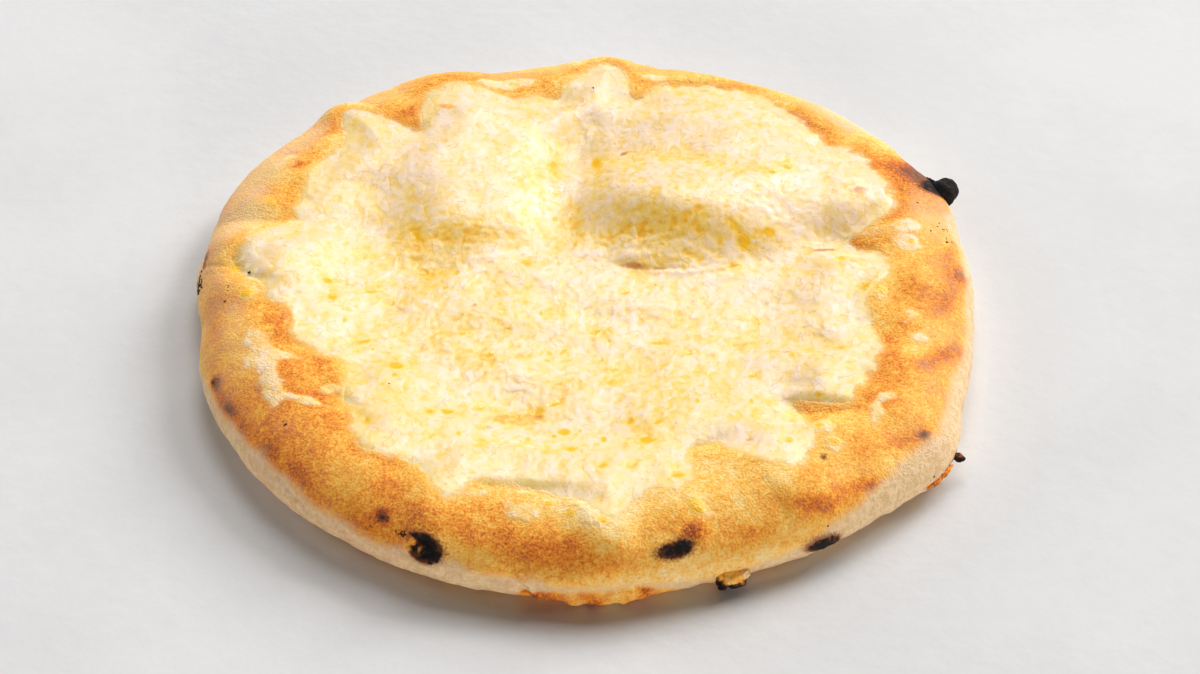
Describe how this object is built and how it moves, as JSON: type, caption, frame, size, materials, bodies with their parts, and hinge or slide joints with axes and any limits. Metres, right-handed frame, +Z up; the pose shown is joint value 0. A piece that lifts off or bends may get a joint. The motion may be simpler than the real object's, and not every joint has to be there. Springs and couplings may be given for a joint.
{
  "type": "cheese flatbread",
  "caption": "Round leavened flatbread with a puffed baked rim and a thin uneven layer of melted cheese over its dished, bubbled top.",
  "frame": {"origin": "middle of the base, on the plane that the bread rests on", "axes": "+Z up through the bread, +X to the right in the picture, +Y away from the picture's camera"},
  "size_m": [0.2426, 0.2448, 0.0304],
  "materials": {
    "baked_crust": "dry baked bread crust, golden to brown, paler and floury on the side and base",
    "melted_cheese": "melted white cheese, pale cream yellow, soft satin with wet spots of yellow butterfat"
  },
  "bodies": {
    "root": {"bread": "baked_crust", "cheese": "melted_cheese"}
  },
  "joints": []
}
